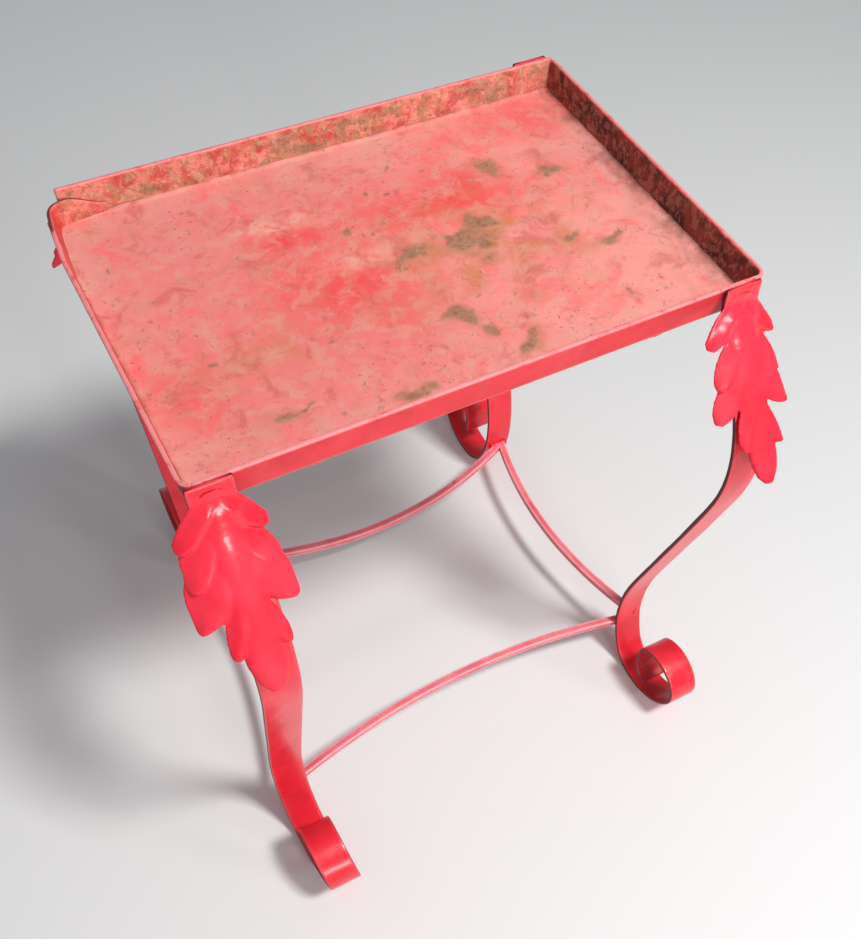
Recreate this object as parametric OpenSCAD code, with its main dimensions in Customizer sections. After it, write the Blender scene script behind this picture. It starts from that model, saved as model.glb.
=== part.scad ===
// Tray-top plant stand in wrought iron.
// A shallow rectangular tray stands on four S-curved flat-bar legs with scrolled feet.
// An acanthus leaf covers the knee of each leg, and four square bars bowed inward tie the ankles.
// Length runs along X, depth along Y, +Z is up. The origin is on the floor under the tray's centre.

/* [Tray] */
// Length of the tray over its long rails, at the top edge
tray_length = 356; // [310:2:440]
// Depth of the tray over its short rails, at the top edge
tray_depth = 242; // [220:2:300]
// Height of the rails
rail_height = 20; // [16:1:26]
// Thickness of the rail strip
rail_thickness = 2.6; // [2:0.2:3.6]
// Distance the rails lean outward between bottom and top
rail_lean = 3; // [1:0.5:4]
// Thickness of the tray's floor sheet
panel_thickness = 1.6; // [1:0.2:2.4]

/* [Legs] */
// Height of the tray's rim above the floor
stand_height = 419; // [380:1:500]
// Width of the flat bar
leg_width = 25.4; // [20:0.2:30]
// Thickness of the flat bar
leg_thickness = 3.2; // [2.6:0.1:4]
// Distance from the end of the tray to the outer edge of a leg
leg_inset = 2; // [1:1:10]
// Distance the back left leg stands further in than the other three
back_left_shift = 18; // [0:1:24]
// Height of the back legs' tops above the rim
back_leg_rise = 3; // [1:0.5:5]
// Outward slope of the bar above the knee, in degrees
knee_slope = 38; // [32:1:42]
// Inward slope of the bar below the knee, in degrees
shin_slope = 16.3; // [14:0.1:18]
// Bend radius of the knee
knee_radius = 104; // [95:1:110]
// Bend radius of the ankle
ankle_radius = 108; // [95:1:120]

/* [Stretchers] */
// Side of the square bar
stretcher_size = 6.4; // [5:0.2:8]
// Height of the stretchers' centre lines above the floor
stretcher_height = 44; // [40:1:60]
// Inward bow of the front stretcher
front_bow = 15; // [10:1:42]
// Inward bow of the back stretcher
back_bow = 37; // [10:1:42]
// Inward bow of each side stretcher
side_bow = 16; // [8:1:26]

/* [Leaves] */
// Length of a leaf along its midrib
leaf_length = 126; // [112:1:134]
// Width of a leaf across its widest lobes
leaf_width = 54; // [44:1:60]
// Thickness of the leaf sheet
leaf_thickness = 1.8; // [1.4:0.1:2.2]
// Pairs of side lobes on a leaf
lobe_pairs = 4; // [3:1:5]

/* [Welds] */
// Radius of the bead in each tray corner
corner_bead = 4.2; // [4:0.1:5]
// Radius of the bead along each leg top
leg_bead = 2; // [1.6:0.1:2.6]
// Radius of the lump at each ankle
ankle_bead = 4.6; // [4:0.1:5.4]
// Radius of the tacks under the floor sheet
tack_bead = 2; // [1.6:0.1:2.6]
// Length of those tacks
tack_length = 8; // [5:1:14]

/* [Hidden] */
$fn = 48;
paint = [0.86, 0.16, 0.18];
paint_dull = [0.78, 0.36, 0.34];
paint_bead = [0.72, 0.12, 0.14];
// Distance each rail stops short of the tray's corner
corner_gap = 7;
// Clearance between the floor sheet and the rails, and the cut across each of its corners
panel_gap = 0.2;
panel_clip = 8;
// Straight length of a leg below its top, and between its upper bend and the knee
top_straight = 7.3;
upper_straight = 22.6;
// Bend radii of a leg, in order, other than the knee and ankle
upper_radius = 53.5;
heel_radius = 34.9;
toe_radius = 48.4;
scroll_radius = 26.8;
curl_radius = 18.1;
// Direction of the bar at the ends of those bends, in degrees from straight down
ankle_end = 27.3;
floor_end = 90;
toe_end = 154.6;
scroll_end = 294.4;
curl_end = 360;
// Straight length at the tip of the scroll
tip_straight = 18.9;
// Height of the front legs' tops above the rim
front_leg_rise = 0.5;
// Centre of a leg along X, and centre of its bar along Y where it meets the rail
leg_x = tray_length / 2 - leg_inset - leg_width / 2;
leg_y = tray_depth / 2 + leg_thickness / 2;
// Largest turn between two flats of a bend, in degrees
bend_step = 3;
// Drop from the rim to the floor taken up by everything but the straight shin
bend_drop = top_straight + upper_radius * sin(knee_slope) + upper_straight * cos(knee_slope)
    + knee_radius * (sin(knee_slope) + sin(shin_slope))
    + ankle_radius * (sin(shin_slope) + sin(ankle_end))
    + heel_radius * (sin(floor_end) - sin(ankle_end)) + leg_thickness / 2;
shin_straight = (stand_height - bend_drop) / cos(shin_slope);
// Runs of a leg from its top to the scroll's tip, each a length and the angle it turns outward
leg_runs = [
    [top_straight, 0],
    arc(upper_radius, knee_slope),
    [upper_straight, 0],
    arc(knee_radius, -knee_slope - shin_slope),
    [shin_straight, 0],
    arc(ankle_radius, shin_slope + ankle_end),
    arc(heel_radius, floor_end - ankle_end),
    arc(toe_radius, toe_end - floor_end),
    arc(scroll_radius, scroll_end - toe_end),
    arc(curl_radius, curl_end - scroll_end),
    [tip_straight, 0]
];
runs_above_ankle = 5;
// Last run of the front legs, which turn on inside the scroll
front_tip = [24, 85];
// Direction of the bar at the stretchers' height
heel_height = leg_thickness / 2 + heel_radius * (sin(floor_end) - sin(ankle_end));
joint_angle = asin(sin(ankle_end) - (stretcher_height - heel_height) / ankle_radius);
// Distance from the stand's centre plane to the inner face of a leg at the stretchers' height
joint_y = leg_y + reach(leg_runs, runs_above_ankle)[0]
    + ankle_radius * (cos(shin_slope) - cos(joint_angle))
    - leg_thickness / 2 / cos(joint_angle);
// Part of the bar's width covered by the long stretchers; the side ones take the rest
joint_share = 0.55;
long_reach = leg_x - leg_width / 2 + leg_width * joint_share;
side_x = long_reach + stretcher_size / 2;
// A leaf's root below the rim, and the length and angle of the outward curl of its tip
leaf_start = 4;
leaf_curl_length = 30;
leaf_curl = 14;
leaf_straight = leaf_length + leaf_start - top_straight - leaf_curl_length
    - arc(upper_radius, knee_slope)[0];
// Runs of a leaf's midrib, which follows the leg's top and then leaves it above the knee
midrib_runs = [
    [top_straight, 0],
    arc(upper_radius, knee_slope),
    [leaf_straight, 0],
    [2 * leaf_curl_length, 2 * leaf_curl]
];
// Rows and half-columns of the leaf's grid
leaf_rows = 50;
leaf_cols = 8;
// Distance of the leaf sheet from the bar, fall of its edges toward the bar, and their slip
// toward the tip
leaf_lift = 2.3;
leaf_fold = 8;
leaf_droop = 15;
// Outline: width at the root as a share of the full width, and, as shares of the length, the
// ends of the root and of the flare, the start and length of the taper, and the start of the tip
root_share = 0.5;
root_end = 0.12;
flare_end = 0.34;
taper_start = 0.5;
taper_length = 0.42;
taper_share = 0.5;
tip_start = 0.88;
tip_flat = 0.0016;
// Lobes: depth of the notches as a share of the width, swelling, and how far down each one peaks
lobe_depth = 0.4;
lobe_puff = 2.2;
lobe_skew = 1.35;
lobe_round = 0.7;
// Midrib: height, and how quickly it falls away to the sides
rib_height = 1.5;
rib_sharpness = 7;
edge_power = 1.6;
// Length of a weld's rounded end kept clear of a bar's edge, in bead radii
bead_margin = 1.5;
// Depth of the leg-top beads below the rim
bead_drop = 1;
// Places of the tacks from the tray's middle, as shares of its length and depth
tack_share_x = 0.3;
tack_share_y = 0.25;

// ---- helpers ----

// Strip leaning outward, with its outer top edge on Y = 0 and Z = 0, running along X
module rail_strip(length) {
    rotate([90, 0, 90])
        linear_extrude(height = length, center = true)
            polygon([
                [0, 0],
                [-rail_lean, -rail_height],
                [-rail_lean - rail_thickness, -rail_height],
                [-rail_thickness, 0]
            ]);
}

// Run along a bend of the given radius: its length and the angle it turns outward
function arc(radius, turn) = [radius * abs(turn) * PI / 180, turn];

// Place at the end of a run that starts at p; a place is [outward, down, degrees from down]
function after(p, run) =
    run[1] == 0 ? [p[0] + run[0] * sin(p[2]), p[1] + run[0] * cos(p[2]), p[2]]
    : let (radius = run[0] / (run[1] * PI / 180), end = p[2] + run[1]) [
        p[0] + radius * (cos(p[2]) - cos(end)),
        p[1] + radius * (sin(end) - sin(p[2])),
        end
    ];

// Place at the end of the first n runs
function reach(runs, n) = n == 0 ? [0, 0, 0] : after(reach(runs, n - 1), runs[n - 1]);

// Place at a distance along the runs
function along(runs, distance, p = [0, 0, 0], i = 0) =
    distance <= runs[i][0] || i == len(runs) - 1
        ? after(p, [distance, runs[i][1] * distance / runs[i][0]])
        : along(runs, distance - runs[i][0], after(p, runs[i]), i + 1);

// Places along all the runs, close together in the bends
function trace(runs, p = [0, 0, 0], i = 0) =
    i == len(runs) ? [p]
    : let (steps = max(1, ceil(abs(runs[i][1]) / bend_step))) concat(
        [for (k = [0 : steps - 1]) after(p, runs[i] * k / steps)],
        trace(runs, after(p, runs[i]), i + 1)
    );

// Point beside a place, at a distance toward the outward side of the bar
function beside(p, distance) = [p[0] + distance * cos(p[2]), -p[1] + distance * sin(p[2])];

// Flat bar of the leg's section along the runs; it starts at the origin, heading down
module bar(runs) {
    places = trace(runs);
    last = len(places) - 1;
    rotate([90, 0, 90])
        linear_extrude(height = leg_width, center = true)
            polygon(concat(
                [for (p = places) beside(p, leg_thickness / 2)],
                [for (k = [last : -1 : 0]) beside(places[k], -leg_thickness / 2)]
            ));
}

// Leg whose outward side is +Y, standing at x = 0 with its top a little above the rim and any
// further runs added at its tip
module leg(rise, further = []) {
    lengthened = [for (k = [0 : len(leg_runs) - 1]) leg_runs[k] + (k == 0 ? [rise, 0] : [0, 0])];
    translate([0, leg_y, stand_height + rise])
        bar(concat(lengthened, further));
}

// Centre along X of the leg at the corner named by the signs of X and Y
function corner_x(sx, sy) = sx * leg_x + (sx < 0 && sy > 0 ? back_left_shift : 0);

// Puts a part on that corner
module at_corner(sx, sy) {
    translate([corner_x(sx, sy), 0, 0])
        mirror([0, sy < 0 ? 1 : 0, 0])
            children();
}

// Height of a lobe along the leaf: 0 in the notches, 1 at the widest place of a lobe
function lobe(s) =
    let (phase = (lobe_pairs + 1) * s)
        sin(180 * pow(phase - floor(phase), lobe_skew));

// Half the leaf's width at a fraction s of its length
function half_width(s) =
    let (
        flare = root_share + (1 - root_share) * sin(90 * min(s / flare_end, 1)),
        taper = 1 - taper_share * pow(max(s - taper_start, 0) / taper_length, edge_power),
        tip = s < tip_start ? 1
            : sqrt(max(1 - pow((s - tip_start) / (1 - tip_start), 2), tip_flat)),
        depth = s < tip_start ? lobe_depth * min(s / root_end, 1) : 0,
        notch = 1 - depth * (1 - pow(lobe(s), lobe_round))
    ) leaf_width / 2 * flare * taper * tip * notch;

// Point of the leaf's outer (side = 0) or inner (side = 1) surface at s along and u across
function leaf_point(s, u, side) =
    let (
        across = abs(u),
        wide = half_width(s),
        droop = leaf_droop * pow(across, edge_power) * sin(180 * s) * (1 - s),
        m = along(midrib_runs, leaf_start + leaf_length * s + droop),
        fold = leaf_fold * pow(across * wide / (leaf_width / 2), 2),
        puff = lobe_puff * lobe(s) * sin(180 * across) * min(s / root_end, 1),
        rib = rib_height * exp(-pow(across * rib_sharpness, 2)) * (1 - s),
        lift = leaf_thickness / 2 + leaf_lift - fold + puff + rib - side * leaf_thickness,
        q = beside(m, leg_thickness / 2 + lift)
    ) [u * wide, leg_y + q[0], stand_height + q[1]];

// Acanthus leaf on the outward side of a leg
module leaf() {
    columns = 2 * leaf_cols + 1;
    skin = (leaf_rows + 1) * columns;
    points = [
        for (side = [0, 1])
            for (i = [0 : leaf_rows])
                for (j = [-leaf_cols : leaf_cols])
                    leaf_point(i / leaf_rows, j / leaf_cols, side)
    ];
    outer = [
        for (i = [0 : leaf_rows - 1])
            for (j = [0 : columns - 2])
                let (p = i * columns + j)
                    each [[p, p + 1, p + columns + 1], [p, p + columns + 1, p + columns]]
    ];
    inner = [for (f = outer) [f[0] + skin, f[2] + skin, f[1] + skin]];
    rim = concat(
        [for (j = [0 : columns - 2]) [j + 1, j]],
        [for (i = [0 : leaf_rows - 1]) [i * columns, (i + 1) * columns]],
        [for (j = [0 : columns - 2]) [leaf_rows * columns + j, leaf_rows * columns + j + 1]],
        [for (i = [leaf_rows : -1 : 1]) [(i + 1) * columns - 1, i * columns - 1]]
    );
    wall = [
        for (e = rim)
            each [[e[0], e[1], e[1] + skin], [e[0], e[1] + skin, e[0] + skin]]
    ];
    polyhedron(points = points, faces = concat(outer, inner, wall), convexity = 6);
}

// Square bar bowed toward -Y: its ends are on Y = 0 at plus and minus half the span
module bowed_bar(span, bow) {
    radius = (span * span / 4 + bow * bow) / (2 * bow);
    angle = 2 * asin(span / 2 / radius);
    translate([0, radius - bow, 0])
        rotate([0, 0, 270 - angle / 2])
            rotate_extrude(angle = angle, $fn = 180)
                translate([radius, 0])
                    square([stretcher_size, stretcher_size], center = true);
}

// Weld bead along X with rounded ends
module bead(length, radius) {
    rotate([0, 90, 0])
        cylinder(h = length, r = radius, center = true, $fn = 24);
    for (end = [-1, 1])
        translate([end * length / 2, 0, 0])
            sphere(r = radius, $fn = 24);
}

// ---- tray ----

// Rail along the front
module front_rail() {
    color(paint)
        translate([0, -tray_depth / 2, stand_height])
            mirror([0, 1, 0])
                rail_strip(tray_length - 2 * corner_gap);
}

// Rail along the back
module back_rail() {
    color(paint)
        translate([0, tray_depth / 2, stand_height])
            rail_strip(tray_length - 2 * corner_gap);
}

// Rail across the left end
module left_rail() {
    color(paint)
        translate([-tray_length / 2, 0, stand_height])
            rotate([0, 0, 90])
                rail_strip(tray_depth - 2 * corner_gap);
}

// Rail across the right end
module right_rail() {
    color(paint)
        translate([tray_length / 2, 0, stand_height])
            rotate([0, 0, -90])
                rail_strip(tray_depth - 2 * corner_gap);
}

// Floor sheet between the rails, level with their bottom edges and clipped at the corner welds
module tray_panel() {
    margin = rail_thickness + rail_lean + panel_gap;
    x = tray_length / 2 - margin;
    y = tray_depth / 2 - margin;
    c = panel_clip;
    color(paint_dull)
        translate([0, 0, stand_height - rail_height])
            linear_extrude(height = panel_thickness)
                polygon([
                    [x, y - c], [x - c, y], [c - x, y], [-x, y - c],
                    [-x, c - y], [c - x, -y], [x - c, -y], [x, c - y]
                ]);
}

// ---- legs ----

// Leg at the front left corner
module front_left_leg() {
    color(paint)
        at_corner(-1, -1)
            leg(front_leg_rise, [front_tip]);
}

// Leg at the front right corner
module front_right_leg() {
    color(paint)
        at_corner(1, -1)
            leg(front_leg_rise, [front_tip]);
}

// Leg at the back left corner
module back_left_leg() {
    color(paint)
        at_corner(-1, 1)
            leg(back_leg_rise);
}

// Leg at the back right corner
module back_right_leg() {
    color(paint)
        at_corner(1, 1)
            leg(back_leg_rise);
}

// ---- leaves ----

// Leaf on the front left leg
module front_left_leaf() {
    color(paint)
        at_corner(-1, -1)
            leaf();
}

// Leaf on the front right leg
module front_right_leaf() {
    color(paint)
        at_corner(1, -1)
            leaf();
}

// Leaf on the back left leg
module back_left_leaf() {
    color(paint)
        at_corner(-1, 1)
            leaf();
}

// Leaf on the back right leg
module back_right_leaf() {
    color(paint)
        at_corner(1, 1)
            leaf();
}

// ---- stretchers ----

// Bar between the front ankles
module front_stretcher() {
    color(paint_dull)
        translate([0, -joint_y + stretcher_size / 2, stretcher_height])
            mirror([0, 1, 0])
                bowed_bar(2 * long_reach, front_bow);
}

// Bar between the back ankles
module back_stretcher() {
    color(paint_dull)
        translate([back_left_shift / 2, joint_y - stretcher_size / 2, stretcher_height])
            bowed_bar(2 * long_reach - back_left_shift, back_bow);
}

// Bar between the left ankles, askew because the back left leg stands further in
module left_stretcher() {
    skew = atan(back_left_shift / (2 * joint_y));
    color(paint_dull)
        translate([back_left_shift / 2 - side_x, 0, stretcher_height])
            rotate([0, 0, 90 - skew])
                bowed_bar(2 * joint_y / cos(skew), side_bow);
}

// Bar between the right ankles
module right_stretcher() {
    color(paint_dull)
        translate([side_x, 0, stretcher_height])
            rotate([0, 0, -90])
                bowed_bar(2 * joint_y, side_bow);
}

// ---- welds ----

// Upright bead closing each corner of the rim
module corner_welds() {
    inward = corner_gap / 2;
    length = rail_height - 2 * corner_bead;
    color(paint_bead)
        for (sx = [-1, 1])
            for (sy = [-1, 1])
                translate([
                    sx * (tray_length / 2 - inward - rail_lean / 2),
                    sy * (tray_depth / 2 - inward - rail_lean / 2),
                    stand_height - rail_height / 2
                ])
                    rotate([0, 90, 0])
                        bead(length, corner_bead);
}

// Bead along the top of each leg where it meets the rail
module leg_top_welds() {
    color(paint_bead)
        for (sx = [-1, 1])
            for (sy = [-1, 1])
                translate([corner_x(sx, sy), sy * (tray_depth - leg_bead) / 2, stand_height - bead_drop])
                    bead(leg_width - 2 * bead_margin * leg_bead, leg_bead);
}

// Lump joining the two stretchers to each leg
module stretcher_welds() {
    color(paint_bead)
        for (sx = [-1, 1])
            for (sy = [-1, 1])
                translate([corner_x(sx, sy), sy * (joint_y - ankle_bead / 2), stretcher_height])
                    bead(leg_width - 2 * bead_margin * ankle_bead, ankle_bead);
}

// Bead under the root of each leaf
module leaf_welds() {
    color(paint_bead)
        for (sx = [-1, 1])
            for (sy = [-1, 1])
                at_corner(sx, sy)
                    translate([0, leg_y + leg_thickness / 2 + leg_bead / 2, stand_height - leaf_start])
                        bead(leg_width / 2, leg_bead);
}

// Tacks under the floor sheet along the rails
module panel_tack_welds() {
    level = stand_height - rail_height - tack_bead / 2;
    out_x = tray_length / 2 - rail_lean - rail_thickness;
    out_y = tray_depth / 2 - rail_lean - rail_thickness;
    color(paint_bead) {
        for (sy = [-1, 1])
            for (i = [-1 : 1])
                translate([i * tray_length * tack_share_x, sy * out_y, level])
                    bead(tack_length, tack_bead);
        for (sx = [-1, 1])
            for (i = [-1, 1])
                translate([sx * out_x, i * tray_depth * tack_share_y, level])
                    rotate([0, 0, 90])
                        bead(tack_length, tack_bead);
    }
}

// ---- nodes ----

front_rail();
back_rail();
left_rail();
right_rail();
tray_panel();
front_left_leg();
front_right_leg();
back_left_leg();
back_right_leg();
front_left_leaf();
front_right_leaf();
back_left_leaf();
back_right_leaf();
front_stretcher();
back_stretcher();
left_stretcher();
right_stretcher();
corner_welds();
leg_top_welds();
stretcher_welds();
leaf_welds();
panel_tack_welds();
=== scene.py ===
import itertools
import math
from collections import namedtuple

import bpy
import numpy as np
from mathutils import Matrix, Vector


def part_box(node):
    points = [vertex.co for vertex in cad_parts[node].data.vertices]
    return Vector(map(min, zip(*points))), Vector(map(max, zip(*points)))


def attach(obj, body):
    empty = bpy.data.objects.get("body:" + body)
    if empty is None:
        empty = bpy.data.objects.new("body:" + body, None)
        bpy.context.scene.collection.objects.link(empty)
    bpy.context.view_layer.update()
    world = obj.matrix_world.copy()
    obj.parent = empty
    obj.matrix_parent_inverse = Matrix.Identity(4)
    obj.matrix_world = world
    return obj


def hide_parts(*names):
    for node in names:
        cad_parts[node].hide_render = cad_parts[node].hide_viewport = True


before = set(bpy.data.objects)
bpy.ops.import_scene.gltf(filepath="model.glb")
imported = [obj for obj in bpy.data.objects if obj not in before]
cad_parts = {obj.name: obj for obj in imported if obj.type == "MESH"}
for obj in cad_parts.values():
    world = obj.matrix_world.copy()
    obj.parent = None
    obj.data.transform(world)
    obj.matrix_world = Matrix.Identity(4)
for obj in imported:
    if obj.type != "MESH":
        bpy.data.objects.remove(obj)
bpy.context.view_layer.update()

# A red-painted wrought-iron plant stand. Every length is in metres, in the CAD frame:
# X runs along the tray, -Y is the front and +Z is up.
MM = 0.001
CORNERS = {
    "front_left": (-1, -1),
    "front_right": (1, -1),
    "back_left": (-1, 1),
    "back_right": (1, 1),
}


# ---- sizes read from the frame ----

def middle(node):
    """Centre of a CAD node's box."""
    low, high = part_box(node)
    return (low + high) / 2


def span(node):
    """Size of a CAD node's box."""
    low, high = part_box(node)
    return high - low


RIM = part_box("front_rail")[1].z
RAIL_HEIGHT = span("front_rail").z
FLOOR_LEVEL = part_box("tray_panel")[1].z
HALF_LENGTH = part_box("right_rail")[1].x
HALF_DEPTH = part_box("back_rail")[1].y
PANEL = span("tray_panel")
BAR_WIDTH = span("front_right_leg").x
ROD = span("front_stretcher").z
STRETCHER_LEVEL = middle("front_stretcher").z
LEG_X = {corner: middle(corner + "_leg").x for corner in CORNERS}

# Sizes of the detail that the CAD model leaves out
BAR_THICKNESS = 3.2 * MM
RAIL_THICKNESS = 2.6 * MM
RAIL_LEAN = span("front_rail").y - RAIL_THICKNESS
LEG_ARRIS = 0.9 * MM
RAIL_ARRIS = 0.8 * MM
ROD_ARRIS = 0.6 * MM
# How far from the middle the legs' inner faces are at the stretchers, less a short overlap
ANKLE_Y = span("right_stretcher").y / 2 - 0.5 * MM
STEP = 1.6 * MM

# How each leg is bent out of true: shift along X at its top and foot, shift along Y at its
# foot, how far its top is cut down, and the sideways slope of its twisted foot
Bend = namedtuple("Bend", "top_x foot_x foot_y cut twist")
BENDS = {
    "front_left": Bend(-1 * MM, -1 * MM, -13 * MM, 0, 0.06),
    "front_right": Bend(-5 * MM, 4.5 * MM, -1.5 * MM, 0, 0),
    "back_left": Bend(0, 4 * MM, 0, 12 * MM, 0),
    "back_right": Bend(-2 * MM, 0, 0, 3 * MM, 0),
}
# How each leaf is bent: shift along X of its middle and of its tip, its share of the true
# length, left width and right width, and how far its sides fold back, in millimetres
LeafBend = namedtuple("LeafBend", "middle_x tip_x length left right fold")
LEAF_BENDS = {
    "front_left": LeafBend(-2, -4.5, 0.96, 0.98, 0.98, 6),
    "front_right": LeafBend(0.5, 3, 1.01, 1.0, 0.87, 3),
    "back_left": LeafBend(-1, -1, 1.1, 1.0, 1.0, 5),
    "back_right": LeafBend(0, 2, 1.0, 1.0, 1.0, 5),
}
# Stretcher ends that meet a leg above or below the others, and by how much
SLIPS = {
    ("front_stretcher", "front_right"): -6 * MM,
    ("right_stretcher", "front_right"): 5 * MM,
}
# How deep the notches between a leaf's lobes are, from the top, on its left and right
NOTCHES = {
    "front_left": ((1, 0.25, 0.05, 0.6), (1, 1, 0.2, 1)),
    "front_right": ((1, 1.1, 1, 1), (1, 1, 0.5, 1)),
    "back_left": ((1, 0.6, 0.4, 0.9), (1, 0.9, 0.3, 1)),
    "back_right": ((1, 0.8, 0.3, 1), (1, 0.5, 0.6, 0.9)),
}
# How far a leg's inner face moves outward for each step down at the stretchers' height
ANKLE_LEAN = 0.28


# ---- noise ----

def value_noise(points, size, seed=0):
    """Smooth noise from -1 to 1 at each point, with features of about the given size."""
    place = np.asarray(points, float) / size + 1000.0 + 17.3 * seed
    cell = np.floor(place).astype(np.int64)
    share = place - cell
    share = share * share * (3 - 2 * share)
    total = np.zeros(len(place))
    for corner in itertools.product((0, 1), repeat=3):
        key = ((cell + corner) * (73856093, 19349663, 83492791)).sum(1) + seed * 2654435
        key = (key ^ (key >> 13)) * 1274126177 & 0xFFFFFFFF
        value = ((key ^ (key >> 16)) & 0xFFFF) / 32767.5 - 1
        weight = np.prod(np.where(corner, share, 1 - share), axis=1)
        total += value * weight
    return total


def fractal(points, size, octaves=4, seed=0):
    """Noise with finer and finer layers, from about -1 to 1."""
    total = sum(value_noise(points, size / 2 ** k, seed + k) / 2 ** k for k in range(octaves))
    return total / 1.4


def rise(values, low, high):
    """0 below low, 1 above high, and a smooth slope between."""
    t = np.clip((np.asarray(values, float) - low) / (high - low), 0, 1)
    return t * t * (3 - 2 * t)


# ---- meshes ----

def make(name, vertices, faces, material, slot, *nodes, **attributes):
    """A smooth mesh piece with float attributes, standing for CAD nodes of the root body."""
    mesh = bpy.data.meshes.new(name)
    mesh.from_pydata([tuple(v) for v in vertices], [], faces)
    return adopt(name, mesh, material, slot, *nodes, **attributes)


def adopt(name, mesh, material, slot, *nodes, **attributes):
    """Turns a mesh into a piece that rides on the root body."""
    for key, values in attributes.items():
        layer = mesh.attributes.new(key, "FLOAT", "POINT")
        layer.data.foreach_set("value", np.asarray(values, np.float32))
    mesh.polygons.foreach_set("use_smooth", [True] * len(mesh.polygons))
    mesh.materials.append(material)
    mesh.validate()
    piece = bpy.data.objects.new(name, mesh)
    bpy.context.scene.collection.objects.link(piece)
    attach(piece, "root")
    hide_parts(*nodes)
    return piece


def tube(rings):
    """Vertices and faces of a closed skin over rings of points, with a fan at each end."""
    count, around = rings.shape[:2]
    vertices = rings.reshape(-1, 3)
    here = np.arange(around)
    after = (here + 1) % around
    faces = []
    for k in range(count - 1):
        a, b = k * around, (k + 1) * around
        faces += np.stack([a + here, a + after, b + after, b + here], 1).tolist()
    ends = np.array([rings[0].mean(0), rings[-1].mean(0)])
    first, last = len(vertices), len(vertices) + 1
    base = (count - 1) * around
    faces += [[first, int(j), int(i)] for i, j in zip(here, after)]
    faces += [[last, base + int(i), base + int(j)] for i, j in zip(here, after)]
    return np.concatenate([vertices, ends]), faces


def gather(parts):
    """Vertices and faces of many tubes together, each given by its rings."""
    vertices, faces, used = [], [], 0
    for rings in parts:
        points, skin = tube(rings)
        vertices.append(points)
        faces += [[i + used for i in face] for face in skin]
        used += len(points)
    return np.concatenate(vertices), faces


def capped(values, cap=0.0):
    """Values of a tube's ring points, with those of its two end points added."""
    return np.append(values, [cap, cap])


def rounded_bar(width, height, radius, across, up, turn=3, inset=0.0):
    """Section of a bar: its points, their outward normals, and 1 on the arrises."""
    points, normals, edge = [], [], []
    w, h, r = width / 2 - radius, height / 2 - radius, radius - inset
    for side, (sx, sy) in enumerate(((1, -1), (1, 1), (-1, 1), (-1, -1))):
        for k in range(turn + 1):
            angle = math.radians(90 * (side - 1 + k / turn))
            way = (math.cos(angle), math.sin(angle))
            points.append((sx * w + r * way[0], sy * h + r * way[1]))
            normals.append(way)
            edge.append(1.0)
        flat = (up, across)[side % 2]
        nx, ny = ((1, -1), (1, 1), (-1, 1), (-1, -1))[(side + 1) % 4]
        ahead = math.radians(90 * side)
        way = (math.cos(ahead), math.sin(ahead))
        start = np.array(points[-1])
        stop = np.array((nx * w + r * way[0], ny * h + r * way[1]))
        for k in range(1, flat):
            points.append(tuple(start + (stop - start) * k / flat))
            normals.append(way)
            edge.append(0.0)
    return np.array(points), np.array(normals), np.array(edge)


def sweep(path, width_axis, depth_axis, width, depth, radius, across, up=2):
    """Bar along a path with softened ends: rings of points, their normals and arris weights."""
    stations = [(0, radius * 0.9), (0, radius * 0.45)]
    stations += [(k, 0.0) for k in range(1, len(path) - 1)]
    last = len(path) - 1
    stations += [(last, radius * 0.45), (last, radius * 0.9)]
    nudges = [0, radius * 0.3] + [0] * (len(path) - 2) + [-radius * 0.3, 0]
    rings, normals, edges = [], [], []
    for (k, inset), nudge in zip(stations, nudges):
        points, ways, edge = rounded_bar(width, depth, radius, across, up, inset=inset)
        along = path[min(k + 1, last)] - path[max(k - 1, 0)]
        along = along / np.linalg.norm(along)
        place = path[k] + along * nudge
        rings.append(place + points[:, :1] * width_axis[k] + points[:, 1:] * depth_axis[k])
        normals.append(ways[:, :1] * width_axis[k] + ways[:, 1:] * depth_axis[k])
        edges.append(np.maximum(edge, 1.0 if inset else 0.0))
    return np.array(rings), np.array(normals), np.array(edges)


def resample(path, step):
    """The same path with points a step apart."""
    lengths = np.linalg.norm(np.diff(path, axis=0), axis=1)
    reach = np.concatenate([[0], np.cumsum(lengths)])
    count = max(2, round(reach[-1] / step) + 1)
    places = np.linspace(0, reach[-1], count)
    return np.stack([np.interp(places, reach, path[:, i]) for i in range(path.shape[1])], 1)


def smooth_path(path, rounds):
    """The same path with its small kinks eased."""
    path = path.copy()
    for _ in range(rounds):
        path[1:-1] = (path[:-2] + 2 * path[1:-1] + path[2:]) / 4
    return path


def directions(path):
    """Unit vector along a path at each of its points."""
    along = np.gradient(path, axis=0)
    return along / np.linalg.norm(along, axis=1)[:, None]


def fuse(vertices, faces, voxel, soften):
    """One closed mesh from overlapping ones, smoothed a number of times."""
    mesh = bpy.data.meshes.new("raw")
    mesh.from_pydata([tuple(v) for v in vertices], [], faces)
    raw = bpy.data.objects.new("raw", mesh)
    bpy.context.scene.collection.objects.link(raw)
    remesh = raw.modifiers.new("fuse", "REMESH")
    remesh.mode = "VOXEL"
    remesh.voxel_size = voxel
    smooth = raw.modifiers.new("soften", "SMOOTH")
    smooth.factor = 0.5
    smooth.iterations = soften
    graph = bpy.context.evaluated_depsgraph_get()
    fused = bpy.data.meshes.new_from_object(raw.evaluated_get(graph))
    bpy.data.objects.remove(raw)
    return fused


def read_vectors(source, key):
    """Points or normals of a mesh as rows."""
    values = np.zeros(len(source) * 3, np.float32)
    source.foreach_get(key, values)
    return values.reshape(-1, 3).astype(float)


def roughen(mesh, depth, size, octaves, seed):
    """Pushes a mesh's points in and out by noise, and gives the new points."""
    points = read_vectors(mesh.vertices, "co")
    normals = read_vectors(mesh.vertex_normals, "vector")
    points += normals * (depth * fractal(points, size, octaves, seed))[:, None]
    mesh.vertices.foreach_set("co", points.ravel())
    return points


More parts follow.
